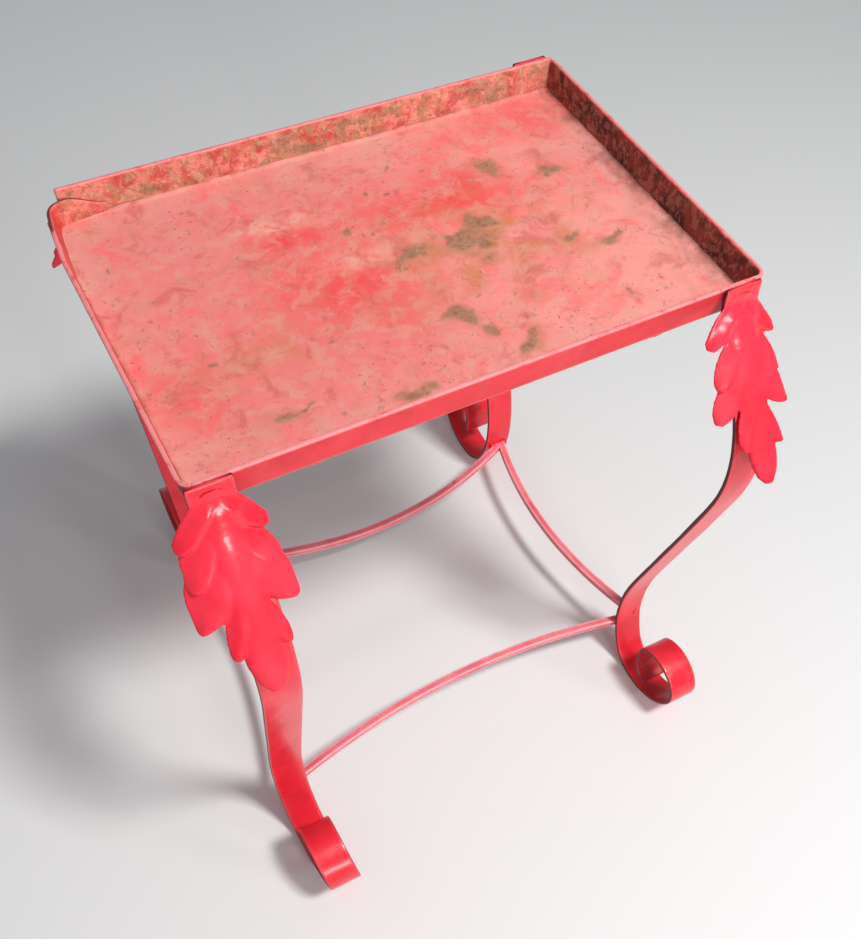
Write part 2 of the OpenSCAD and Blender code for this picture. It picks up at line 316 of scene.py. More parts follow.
def hollows(mesh, rounds=4):
    """How deep each point of a mesh lies in a crease: above 0 in a hollow, below 0 on a ridge."""
    points = read_vectors(mesh.vertices, "co")
    normals = read_vectors(mesh.vertex_normals, "vector")
    pairs = np.zeros(len(mesh.edges) * 2, np.int64)
    mesh.edges.foreach_get("vertices", pairs)
    a, b = pairs.reshape(-1, 2).T
    count = np.bincount(np.concatenate([a, b]), minlength=len(points))

    def around(values):
        total = np.zeros(len(points))
        np.add.at(total, a, values[b])
        np.add.at(total, b, values[a])
        return total / np.maximum(count, 1)

    mean = np.stack([around(points[:, i]) for i in range(3)], 1)
    size = np.linalg.norm(points[a] - points[b], axis=1).mean()
    depth = ((mean - points) * normals).sum(1) / size
    for _ in range(rounds):
        depth = around(depth)
    return depth


# ---- materials ----

def add(tree, kind, values=None, **settings):
    """Adds a shader node; values are numbers, colours or the outputs that feed its inputs."""
    node = tree.nodes.new("ShaderNode" + kind)
    for key, value in settings.items():
        setattr(node, key, value)
    for key, value in (values or {}).items():
        if isinstance(value, bpy.types.NodeSocket):
            tree.links.new(value, node.inputs[key])
        else:
            node.inputs[key].default_value = value
    return node


def colour(red, green, blue):
    """Linear colour from one given in 0-255 steps."""
    steps = (red / 255, green / 255, blue / 255)
    linear = [v / 12.92 if v <= 0.04045 else ((v + 0.055) / 1.055) ** 2.4 for v in steps]
    return (*linear, 1.0)


class Paint:
    """Builds one painted-metal material, layer by layer."""

    def __init__(self, name, base, rough):
        self.material = bpy.data.materials.new(name)
        self.material.use_nodes = True
        self.tree = self.material.node_tree
        self.shader = self.tree.nodes["Principled BSDF"]
        self.place = add(self.tree, "TexCoord").outputs["Object"]
        self.tint = base
        self.rough = rough
        self.relief = None

    def noise(self, size, detail=4.0, distortion=0.0, roughness=0.55, shift=0.0):
        """Noise from 0 to 1 with features of about the given size."""
        move = add(self.tree, "VectorMath", {0: self.place, 1: (shift,) * 3}, operation="ADD")
        settings = {
            "Vector": move.outputs[0],
            "Scale": 1 / size,
            "Detail": detail,
            "Roughness": roughness,
            "Distortion": distortion,
        }
        return add(self.tree, "TexNoise", settings).outputs["Fac"]

    def attribute(self, name):
        """A value given to the mesh's points, or 0 where the mesh has none of that name."""
        return add(self.tree, "Attribute", attribute_name=name).outputs["Fac"]

    def slope(self, source, low, high, to_low=0.0, to_high=1.0):
        """Smooth step of a value from low to high."""
        values = {0: source, 1: low, 2: high, 3: to_low, 4: to_high}
        node = add(self.tree, "MapRange", values, interpolation_type="SMOOTHSTEP")
        return node.outputs[0]

    def spots(self, low, high, *kind, least=0.0, most=1.0, **more):
        """Patches of noise: least where it is below low and most where it is above high."""
        return self.slope(self.noise(*kind, **more), low, high, least, most)

    def times(self, a, b):
        """Product of two values, kept between 0 and 1."""
        values = {0: a, 1: b}
        return add(self.tree, "Math", values, operation="MULTIPLY", use_clamp=True).outputs[0]

    def blend(self, share, a, b):
        """Mix of two colours."""
        return add(self.tree, "Mix", {0: share, 6: a, 7: b}, data_type="RGBA").outputs[2]

    def dull_with(self, share, rough):
        """Gives a share of the surface another roughness."""
        self.rough = add(self.tree, "Mix", {0: share, 2: self.rough, 3: rough}).outputs[0]

    def coat_with(self, share, rgba, rough=None):
        """Covers a share of the surface with another colour and roughness."""
        self.tint = self.blend(share, self.tint, rgba)
        if rough is not None:
            self.dull_with(share, rough)

    def bump(self, height, strength, depth):
        """Adds a layer of relief."""
        values = {"Height": height, "Strength": strength, "Distance": depth}
        if self.relief is not None:
            values["Normal"] = self.relief
        self.relief = add(self.tree, "Bump", values).outputs[0]

    def done(self, coat=0.0, specular=0.5):
        """Joins the layers to the shader; the paint is less glossy where it is dull."""
        inputs = self.shader.inputs
        dull = self.attribute("dull")
        self.dull_with(dull, 0.62)
        self.tree.links.new(self.slope(dull, 0.0, 1.0, coat, 0.0), inputs["Coat Weight"])
        self.tree.links.new(self.tint, inputs["Base Color"])
        self.tree.links.new(self.rough, inputs["Roughness"])
        if self.relief is not None:
            self.tree.links.new(self.relief, inputs["Normal"])
        inputs["Coat Roughness"].default_value = 0.12
        inputs["Specular IOR Level"].default_value = specular
        return self.material


PINK = colour(226, 120, 124)
CORAL = colour(240, 62, 66)
OCHRE = colour(206, 122, 76)
RUST = colour(122, 66, 40)
DARK_RUST = colour(56, 34, 26)
OLIVE = colour(146, 118, 90)
BROWN = colour(120, 86, 64)
GREY = colour(164, 146, 120)


def rust_layers(paint, mask):
    """Rust scabs in brown, ochre and grey, with a granular relief, where the mask is 1."""
    brown = paint.blend(paint.spots(0.3, 0.55, 7 * MM, 5.0, 0.6, shift=3.1), BROWN, OLIVE)
    mixed = paint.blend(paint.spots(0.5, 0.72, 3 * MM, shift=5.2), brown, RUST)
    pale = paint.blend(paint.spots(0.58, 0.75, 2.2 * MM, shift=8.4), mixed, GREY)
    paint.coat_with(mask, pale, 0.85)
    height = paint.times(paint.noise(1.4 * MM, 6.0, roughness=0.7), mask)
    paint.bump(height, 0.9, 0.6 * MM)


def inside_layers(paint):
    """Weathered salmon paint with ochre scale on the rails' inner faces; the right rail's inner
    face is painted in shade, dark red-brown with soot blots.
    """
    inside = paint.attribute("inside")
    cloud = paint.spots(0.36, 0.62, 14 * MM, 6.0, 0.4, shift=3.7)
    salmon = paint.blend(cloud, colour(192, 70, 62), colour(220, 128, 112))
    scale = paint.spots(0.45, 0.6, 9 * MM, 6.0, 0.6, shift=6.1, most=0.8)
    scaly = paint.blend(scale, salmon, colour(170, 120, 84))
    grit = paint.spots(0.52, 0.68, 2.6 * MM, 5.0, 0.4, shift=7.4, most=0.7)
    scaly = paint.blend(grit, scaly, colour(120, 80, 58))
    # Painted shade on the right rail's inner face: dark red-brown, with darker soot blots and
    # grit
    blots = paint.spots(0.42, 0.62, 17 * MM, 6.0, 0.3, shift=8.8)
    shaded_and_sooty = paint.blend(blots, colour(158, 66, 54), colour(88, 40, 34))
    shaded_and_sooty = paint.blend(grit, shaded_and_sooty, colour(84, 50, 38))
    paint.coat_with(inside, paint.blend(paint.attribute("shade_and_soot"), scaly, shaded_and_sooty), 0.62)
    plates = paint.spots(0.47, 0.58, 5 * MM, 4.0, 0.8, 0.6, shift=2.2)
    lifted = paint.times(plates, inside)
    paint.coat_with(paint.times(lifted, 0.3), colour(232, 166, 142))
    paint.bump(lifted, 0.6, 0.4 * MM)


def enamel(name, fresh, deep, fade, rough, wear_and_glint, coat, worn_and_glint=PINK, inner=False):
    """Glossy red paint, faded in places, worn on the arrises, where the pale line is partly a
    painted highlight, with painted shade in the creases and on the narrow sides.
    """
    paint = Paint(name, fresh, rough)
    paint.coat_with(paint.spots(0.42, 0.68, 38 * MM, 4.0, 0.4), deep)
    faded = paint.spots(0.52, 0.72, 46 * MM, 5.0, 0.8, shift=1.7, most=fade)
    paint.coat_with(faded, colour(236, 96, 106), rough + 0.15)
    mottle = paint.spots(0.35, 0.75, 5 * MM, 5.0, shift=4.4, most=0.22)
    paint.coat_with(mottle, deep)
    # Pale rubbed arrises; on the stretchers this line is partly a painted highlight
    arris = paint.spots(0.28, 0.5, 9 * MM, 5.0, 0.5, shift=2.3, least=0.35)
    arris = paint.times(arris, paint.attribute("edge"))
    paint.coat_with(paint.times(arris, wear_and_glint), worn_and_glint, 0.5)
    # Painted shade: deep red darkening in hollows and inside the scrolls
    crease_shade = paint.slope(paint.attribute("crease"), 0.03, 0.25, 0.0, 0.5)
    paint.coat_with(crease_shade, colour(130, 8, 16), 0.4)
    # Painted shade: near-black red on the legs' narrow sides and the left rail's outer face
    side_shade = paint.times(paint.attribute("side_shade"), 0.9)
    paint.coat_with(side_shade, colour(66, 6, 12), 0.6)
    chips = paint.spots(0.735, 0.765, 3.2 * MM, 3.0, 0.3, shift=9.1)
    zone = paint.spots(0.5, 0.62, 55 * MM, 3.0, shift=6.6)
    paint.coat_with(paint.times(chips, zone), DARK_RUST, 0.8)
    if inner:
        inside_layers(paint)
    rust_layers(paint, paint.attribute("rust"))
    paint.bump(paint.noise(9 * MM, 3.0, shift=7.7), 0.16, 0.5 * MM)
    paint.bump(paint.noise(1.6 * MM, 4.0, shift=0.9), 0.07, 0.25 * MM)
    return paint.done(coat, 0.38)


def tray_enamel():
    """Sun-faded paint of the tray's floor, with brush swirls, stains and rust scabs."""
    paint = Paint("tray_paint", colour(232, 128, 122), 0.5)
    cloud = paint.spots(0.42, 0.6, 55 * MM, 6.0, 0.5, most=0.7)
    paint.coat_with(cloud, colour(238, 124, 120))
    warm = paint.spots(0.3, 0.6, 70 * MM, 5.0, 0.6, shift=9.4, least=0.2, most=0.8)
    warm = paint.times(warm, paint.attribute("bright"))
    paint.coat_with(warm, colour(250, 160, 150), 0.5)
    paint.coat_with(paint.attribute("pale"), colour(222, 158, 148), 0.6)
    swirl = paint.noise(32 * MM, 7.0, 0.7, 0.6, shift=2.9)
    coral = paint.times(paint.attribute("coral"), paint.slope(swirl, 0.22, 0.5))
    paint.coat_with(coral, CORAL, 0.42)
    paint.coat_with(paint.slope(swirl, 0.52, 0.66, 0.0, 0.5), colour(246, 96, 98), 0.45)
    ochre = paint.spots(0.4, 0.62, 24 * MM, 6.0, 0.5, shift=5.5)
    paint.coat_with(paint.times(paint.attribute("ochre"), ochre), OCHRE, 0.6)
    smear = paint.spots(0.3, 0.7, 14 * MM, 6.0, 1.2, shift=1.6)
    smear = paint.times(paint.attribute("smear"), smear)
    paint.coat_with(smear, colour(240, 182, 160), 0.55)
    film = paint.spots(0.42, 0.66, 12 * MM, 7.0, 0.4, 0.65, shift=4.1, most=0.55)
    paint.coat_with(film, colour(220, 156, 138), 0.65)
    stain = paint.spots(0.52, 0.68, 20 * MM, 7.0, 0.6, 0.65, shift=6.3, most=0.6)
    paint.coat_with(stain, colour(200, 92, 82), 0.6)
    paint.coat_with(paint.attribute("halo"), colour(190, 122, 90), 0.7)
    # Painted shade with dirt: brown darkening along the right rail and round the rim
    paint.coat_with(paint.attribute("rim_shade_and_dirt"), colour(96, 58, 44), 0.85)
    flecks = paint.spots(0.56, 0.68, 4.5 * MM, 7.0, 0.8, 0.7, shift=7.3, most=0.6)
    paint.coat_with(flecks, colour(182, 108, 88), 0.7)
    speck = paint.spots(0.6, 0.68, 2.6 * MM, 5.0, 0.3, 0.65, shift=1.3)
    zone = paint.spots(0.45, 0.58, 34 * MM, 5.0, 0.4, shift=5.9)
    speck = paint.times(speck, paint.times(zone, 0.8))
    paint.coat_with(speck, colour(118, 80, 58), 0.8)
    rust_layers(paint, paint.attribute("rust"))
    paint.bump(paint.noise(14 * MM, 5.0, 0.5, shift=3.6), 0.3, 1.0 * MM)
    paint.bump(paint.noise(2.4 * MM, 6.0, 0.4, roughness=0.7), 0.4, 0.4 * MM)
    return paint.done(0.0, 0.4)


# ---- legs ----

def side_outline(node, out):
    """Points (out, up) round a bar's side face, in order from its outer top corner."""
    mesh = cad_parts[node].data
    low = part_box(node)[0].x
    sides = {}
    for polygon in mesh.polygons:
        corners = [mesh.vertices[i].co for i in polygon.vertices]
        if max(abs(c.x - low) for c in corners) < 1e-6:
            keys = [(round(out * c.y, 6), round(c.z, 6)) for c in corners]
            for pair in zip(keys, keys[1:] + keys[:1]):
                side = frozenset(pair)
                sides[side] = sides.get(side, 0) + 1
    beside = {}
    for side, count in sides.items():
        if count == 1:
            a, b = side
            beside.setdefault(a, []).append(b)
            beside.setdefault(b, []).append(a)
    top = sorted(beside, key=lambda p: (-round(p[1], 5), -p[0]))[:2]
    loop = [top[0]]
    before = top[1]
    while loop[-1] != top[1]:
        ahead = [p for p in beside[loop[-1]] if p != before][0]
        before = loop[-1]
        loop.append(ahead)
    return np.array(loop)


def centre_line(corner):
    """Middle of a leg's bar as (out, up), from its top to the tip of its scroll."""
    loop = side_outline(corner + "_leg", CORNERS[corner][1])
    half = len(loop) // 2
    line = (loop[:half] + loop[::-1][:half]) / 2
    line = smooth_path(resample(line, STEP), 6)
    up = line[:, 1]
    shin = rise(up, 45 * MM, 75 * MM) * (1 - rise(up, RIM - 80 * MM, RIM - 50 * MM))
    return line + (smooth_path(line, 160) - line) * shin[:, None]


def bend(corner, points):
    """Moves true points of a leg, or of what is fixed to it, to where the bent leg is."""
    bent = BENDS[corner]
    share = np.clip((RIM - points[:, 2]) / RIM, 0, 1)
    moved = points.copy()
    moved[:, 0] += bent.top_x * (1 - rise(share, 0.0, 0.1)) + bent.foot_x * rise(share, 0.0, 0.9)
    moved[:, 1] += bent.foot_y * rise(share, 0.2, 1.0)
    past_ankle = np.abs(points[:, 1]) - span("right_stretcher").y / 2
    moved[:, 0] += bent.twist * past_ankle * rise(share, 0.8, 0.95)
    return moved


def outline_normals(line):
    """Direction toward the outward side of the bar at each point of (out, up)."""
    along = directions(line)
    return np.stack([-along[:, 1], along[:, 0]], 1)


def make_leg(corner, material):
    """Flat bar with eased arrises, hand-bent waves and a few hammer marks."""
    out = CORNERS[corner][1]
    line = centre_line(corner)[round(BENDS[corner].cut / STEP):]
    normal = outline_normals(line)
    path = np.stack([np.full(len(line), LEG_X[corner]), out * line[:, 0], line[:, 1]], 1)
    depth_axis = np.stack([np.zeros(len(line)), out * normal[:, 0], normal[:, 1]], 1)
    width_axis = np.tile((float(out), 0.0, 0.0), (len(line), 1))
    rings, normals, edges = sweep(
        path, width_axis, depth_axis, BAR_WIDTH, BAR_THICKNESS, LEG_ARRIS, across=14)
    points, ways = rings.reshape(-1, 3), normals.reshape(-1, 3)
    seed = 40 + list(CORNERS).index(corner)
    waves = 0.35 * MM * value_noise(points, 45 * MM, seed)
    dents = 0.22 * MM * fractal(points, 14 * MM, 2, seed + 5)
    points = points + ways * (dents + 0.05 * MM)[:, None] * np.abs(ways[:, 1:]).max(1)[:, None]
    points[:, 1] += waves
    rust = rise(fractal(points, 22 * MM, 4, seed + 9), 0.62, 0.8)
    rust *= rise(RIM - points[:, 2], 0.3, 0.4)
    # The scroll's inner side gets painted shade past the point where the bar touches the floor
    stations = np.repeat(np.arange(len(rings)), rings.shape[1])
    past_floor = rise(stations - np.argmin(line[:, 1]), 0, 30 * MM / STEP)
    facing = np.concatenate([depth_axis[:1], depth_axis, depth_axis[-1:]])[:, None]
    within = rise((normals * facing).sum(2).ravel(), 0.2, 0.8)
    vertices, faces = tube(bend(corner, points).reshape(rings.shape))
    values = {
        "edge": capped(edges, 1.0),
        "rust": capped(rust * 0.8),
        "crease": capped(0.3 * past_floor * within),
        # Painted shade on the bar's narrow side faces
        "side_shade": capped(rise(np.abs(ways[:, 0]), 0.5, 0.9)),
    }
    make("leg_" + corner, vertices, faces, material, "leg_paint", corner + "_leg", **values)


# ---- leaves ----

# How far down its leg a leaf starts, half its width in millimetres, and how many degrees its
# tip curls out over its last stretch
LEAF_START = 5 * MM
LEAF_HALF = 27
LEAF_CURL = 6
CURL_RUN = 30 * MM
# Side lobes from the top, in millimetres: how far down the tip is, how far it reaches to the
# side, and how far above the tip the upper and lower edges leave the midrib
LOBES = [
    (33, 25.5, 34, 31),
    (56.5, 25.5, 50, 38),
    (78.5, 30.0, 50, 38),
    (100, 17.5, 46, 34),
]
# Swollen middle of a leaf: its half widths and how far it stands out, at even steps down
MIDDLE_WIDTHS = (12.4, 12.8, 13, 12, 10, 7)
MIDDLE_CROWN = (0.3, 3.0, 4.4, 4.7, 4.6, 4.3, 4.0, 3.6, 3.0, 2.4, 1.5)
# Hanging tongue: where it starts and ends, its half width and its share of that at even
# steps down, and how far it stands out
TONGUE = (74, 124, 10.8)
TONGUE_SHAPE = (0.5, 0.85, 1, 1.04, 1.06, 1.04, 0.94, 0.74, 0.3)
TONGUE_CROWN = (2.8, 3.4, 3.6, 3.4, 3.0, 1.6)


def midrib(corner):
    """Line of a leaf's back as (out, up), from the rim down, straight on past the knee."""
    line = centre_line(corner)
    along = directions(line)
    slope = np.degrees(np.arctan2(along[:, 0], -along[:, 1]))
    steepest = int(np.argmax(slope[: len(slope) // 3]))
    upper = line[: steepest + 1] + outline_normals(line)[: steepest + 1] * BAR_THICKNESS / 2
    angle = math.radians(slope[steepest])
    points = list(upper)
    target = (LEAF_START + TONGUE[1] * MM) / STEP + 6
    while len(points) < target:
        if len(points) > target - CURL_RUN / STEP:
            angle += math.radians(LEAF_CURL) * STEP / CURL_RUN
        points.append(points[-1] + STEP * np.array((math.sin(angle), -math.cos(angle))))
    return np.array(points)


def curve(points, t):
    """Cubic curve through the first and last of four points."""
    weights = ((1 - t) ** 3, 3 * t * (1 - t) ** 2, 3 * t * t * (1 - t), t ** 3)
    return sum(w[:, None] * np.array(point, float) for w, point in zip(weights, points))


def lobe(tip, reach, above, below, notch, side):
    """Closed lobe in leaf coordinates: across, along and out from the bar, in millimetres."""
    rows, columns = 44, 22
    t = np.linspace(0, 1, rows)
    q = np.linspace(0, 1, columns)[None, :, None]
    first = tip - above < 2
    turn = ((10, tip - above), (0.7 * reach, tip - 19)) if first else (
        (6 + 1.1 * reach * (1 - notch), tip - 34), (0.98 * reach, tip - 21))
    upper = curve(((0, tip - above), *turn, (reach + 0.4, tip - 6)), t)
    lower = curve(((0, tip - below + 6), (4, tip - 17), (8, tip - 2.5), (reach - 4.5, tip)), t)
    plan = upper[:, None] * (1 - q) + lower[:, None] * q
    plan += (4 * q * (1 - q)) * (t[:, None, None] ** 8) * (1.6, 1.8)
    q, p = q[:, :, 0], t[:, None]
    base = 0.6 + 2.4 * (1 - p) ** 1.5 + 1.6 * rise(p, 0.55, 1.0)
    swell = rise(q, 0.0, 0.75) * np.sqrt(np.clip(1 - ((q - 0.7) / 0.3).clip(0) ** 2, 0, 1))
    top = base + 0.5 + 2.7 * swell * (0.35 + 0.65 * rise(p, 0.05, 0.45))
    bottom = base - 0.9 + 0 * q
    upper_skin = np.dstack([plan, top])
    lower_skin = np.dstack([plan, bottom])[:, ::-1]
    rings = np.concatenate([upper_skin, lower_skin], 1)
    rings[:, :, 0] *= side
    return rings[:, ::-1] if side > 0 else rings


def strip(low, high, widths, crown, thick, power):
    """Closed strip along the midrib, widths given at even steps, swelling to the crown."""
    rows, columns = 60, 26
    share = np.linspace(0, 1, rows)[:, None]
    v = np.linspace(-1, 1, columns)[None, :]
    wide = np.interp(share, np.linspace(0, 1, len(widths)), widths)
    height = np.interp(share, np.linspace(0, 1, len(crown)), crown)
    across, along = wide * v, low + (high - low) * share + 0 * v
    top = thick + height * np.clip(1 - np.abs(v) ** power, 0, 1) ** 0.6
    upper = np.stack([across, along, top], 2)
    lower = np.stack([across, along, top * 0 - 0.4], 2)[:, ::-1]
    return np.concatenate([upper, lower], 1)[:, ::-1]


def place_leaf(corner, local):
    """Leaf coordinates in millimetres to points on the leg."""
    bent = LEAF_BENDS[corner]
    line = midrib(corner)
    normal = outline_normals(line)
    across, along, height = local.T
    height = height * (0.3 + 0.7 * rise(along, 2, 16)) - bent.fold * (across / LEAF_HALF) ** 2
    sway = bent.middle_x * rise(along, 0, 55)
    sway += (bent.tip_x - bent.middle_x) * rise(along, 55, 115)
    share = (LEAF_START + BENDS[corner].cut + along * bent.length * MM) / STEP
    stations = np.arange(len(line))
    point = [np.interp(share, stations, line[:, i]) for i in (0, 1)]
    way = [np.interp(share, stations, normal[:, i]) for i in (0, 1)]
    out = CORNERS[corner][1]
    widened = across * np.where(across > 0, bent.right, bent.left)
    x = LEG_X[corner] + (widened + sway) * MM
    y = out * (point[0] + way[0] * height * MM)
    z = point[1] + way[1] * height * MM
    return np.stack([x, y, z], 1)


def make_leaf(corner, material):
    """Acanthus leaf: overlapping lobes on a swollen middle and a hanging tongue."""
    index = list(CORNERS).index(corner)
    rng = np.random.default_rng(7 + index)
    parts = [strip(-1, 112, MIDDLE_WIDTHS, MIDDLE_CROWN, 0.9, 2.0)]
    for k, (tip, reach, above, below) in enumerate(LOBES):
        for side, notches in zip((-1, 1), NOTCHES[corner]):
            slip, widen = rng.uniform(-1.3, 1.3, 2)
            parts.append(lobe(tip + slip, reach + widen, above, below, notches[k], side))
    start, stop, half = TONGUE
    widths = [half * share for share in TONGUE_SHAPE]
    parts.append(strip(start, stop, widths, TONGUE_CROWN, 1.1, 2.4))
    local, faces = gather(parts)
    mesh = fuse(bend(corner, place_leaf(corner, local)), faces, 0.75 * MM, 7)
    points = roughen(mesh, 0.16 * MM, 9 * MM, 3, 60 + index)
    # Depth in the hollows, which the paint darkens as painted shade
    crease = hollows(mesh)
    rust = rise(fractal(points, 12 * MM, 4, 70 + index), 0.8, 0.92) * 0.7
    edge = rise(-crease, 0.05, 0.16)
    dull = rise(RIM - points[:, 2], 24 * MM, 58 * MM)
    values = {"edge": edge, "rust": rust, "crease": crease, "dull": dull}
    adopt("leaf_" + corner, mesh, material, "leaf_paint", corner + "_leaf", **values)


# ---- tray ----

# How rusty and flaky each rail's inner face is
FLAKINESS = {"front_rail": 0.25, "back_rail": 1.0, "left_rail": 0.3, "right_rail": 0.8}
# The left rail's end, bent in front of the back rail: how far along the tray and how far in
# from the back its points are, in millimetres
BENT_END = ((42, 3.4), (16, 4), (9, 6.5), (5.5, 13), (2.5, 34), (0, 62))


def rail_path(name):
    """Plan of a rail's outer top edge, and the outward direction at each of its points."""
    turn = 6 * MM
    x, y = HALF_LENGTH, HALF_DEPTH
    if name == "front_rail":
        plan = [(-x + turn, -y), (x - turn, -y)]
    if name == "back_rail":
        plan = [(x - 1 * MM, y), (-x + 15 * MM, y)]
    if name == "right_rail":
        arc = [math.radians(a) for a in range(-90, 1, 15)]
        plan = [(x - turn + turn * math.cos(a), -y + turn + turn * math.sin(a)) for a in arc]
        plan.append((x, y - 4 * MM))
    if name == "left_rail":
        arc = [math.radians(a) for a in range(180, 271, 15)]
        plan = [(-x + across * MM, y - back * MM) for across, back in BENT_END]
        plan += [(-x + turn + turn * math.cos(a), -y + turn + turn * math.sin(a)) for a in arc]
    path = smooth_path(resample(np.array(plan), STEP), 5)
    along = directions(path)
    return path, np.stack([along[:, 1], -along[:, 0]], 1)


def make_rail(name, material):
    """Rail strip: worn top edge, rust and flaking paint on its inner face."""
    path, outward = rail_path(name)
    lean = math.atan2(RAIL_LEAN, RAIL_HEIGHT)
    height = RAIL_HEIGHT / math.cos(lean)
    count = len(path)
    flat = np.concatenate([outward, np.zeros((count, 1))], 1)
    up = np.array((0.0, 0.0, 1.0))
    depth_axis = flat * math.cos(lean) - up * math.sin(lean)
    rise_axis = flat * math.sin(lean) + up * math.cos(lean)
    crown = np.concatenate([path, np.full((count, 1), RIM)], 1)
    from_end = np.arange(count) * STEP
    if name == "left_rail":
        crown[:, 2] -= 5 * MM * (1 - rise(from_end, 30 * MM, 75 * MM))
        crown[:, 2] -= 8 * MM * (1 - rise(from_end, 0, 24 * MM))
    centre = crown - rise_axis * height / 2 - flat * RAIL_THICKNESS / 2
    rings, normals, edges = sweep(
        centre, rise_axis, depth_axis, height, RAIL_THICKNESS, RAIL_ARRIS, across=18)
    points, ways = rings.reshape(-1, 3), normals.reshape(-1, 3)
    seed = 11 + list(FLAKINESS).index(name)
    flaky = FLAKINESS[name]
    inner = rise(-(ways * points * (1, 1, 0)).sum(1) / HALF_DEPTH, 0.2, 0.5)
    scale = fractal(points * (1, 1, 1.8), 7 * MM, 4, seed)
    flakes = rise(scale, 0.0, 0.12) * 0.35 + rise(scale, 0.3, 0.36) * 0.4
    points = points + ways * (flakes * flaky * inner * MM)[:, None]
    patch = fractal(points * (1, 1, 2.0), 16 * MM, 5, seed + 6)
    rust = rise(patch, 0.45 - 0.25 * flaky, 0.8 - 0.1 * flaky) * inner * (0.3 + 0.35 * flaky)
    chips = rise(fractal(points, 7 * MM, 3, seed + 8), 0.55, 0.62) * (1 - inner) * 0.6
    top = rise(points[:, 2], RIM - 1.2 * MM, RIM - 0.4 * MM)
    inside = inner * (1 - 0.8 * top)
    if name == "left_rail":
        # Cleaner paint where the rail bends, scale again on its end
        apart = rise(points[:, 1], HALF_DEPTH - 30 * MM, HALF_DEPTH - 60 * MM)
        end = rise(points[:, 0], -HALF_LENGTH + 5 * MM, -HALF_LENGTH + 16 * MM)
        end *= points[:, 1] > HALF_DEPTH - 30 * MM
        inside = np.maximum(inside * 0.4 * (0.5 + 0.5 * apart), 0.85 * end * inside)
    if name == "front_rail":
        inside = inside * 0.4
    vertices, faces = tube(points.reshape(rings.shape))
    values = {
        "edge": capped(np.maximum(edges.ravel() * 0.5, top)),
        "rust": capped(np.clip(rust * (1 - 0.7 * top) + chips * 0.3, 0, 1)),
        "inside": capped(inside),
        # The right rail's inner face is painted in shade
        "shade_and_soot": capped(inside * (name == "right_rail")),
        # Painted shade on the left rail's outer face
        "side_shade": capped((1 - inner) * (1 - top) * 0.75 * (name == "left_rail")),
    }
    make("rim_" + name, vertices, faces, material, "rail_paint", name, **values)


# Rust scabs on the tray's floor: place as shares of its half length and half depth, and size
# in millimetres
SCABS = [
    (0.07, 0.03, 15, 6),
    (0.27, -0.04, 14, 10),
    (0.33, 0.07, 10, 5),
    (0.53, 0.48, 9, 7),
    (0.74, 0.32, 10, 4),
    (0.06, -0.46, 7, 8),
    (0.11, -0.60, 5, 6),
    (0.21, -0.80, 9, 6),
    (0.04, -0.93, 12, 4),
    (-0.22, -0.86, 8, 4),
    (0.74, -0.31, 9, 4),
    (-0.63, -0.76, 7, 4),
    (-0.10, 0.32, 4, 3),
    (0.58, -0.20, 6, 3),
]


# Brightest red patches of the tray's floor, given like the scabs
CORAL_PATCHES = ((-0.2, -0.05, 46, 40), (-0.28, 0.42, 34, 20), (0.3, 0.3, 60, 34))


def blob(points, x, y, wide, deep):
    """1 at a place given as shares of the tray, fading out over sizes in millimetres."""
    dx = (points[:, 0] - x * PANEL.x / 2) / (wide * MM)
    dy = (points[:, 1] - y * PANEL.y / 2) / (deep * MM)
    return np.exp(-(dx * dx + dy * dy))


def strongest(points, blobs):
    """The strongest of many blobs at each point."""
    return np.max([blob(points, *one) for one in blobs], axis=0)


def ruffle(flat, size, seeds):
    """Two layers of noise, as shifts along X and Y."""
    return np.stack([fractal(flat, size, 3, seed) for seed in seeds], 1)


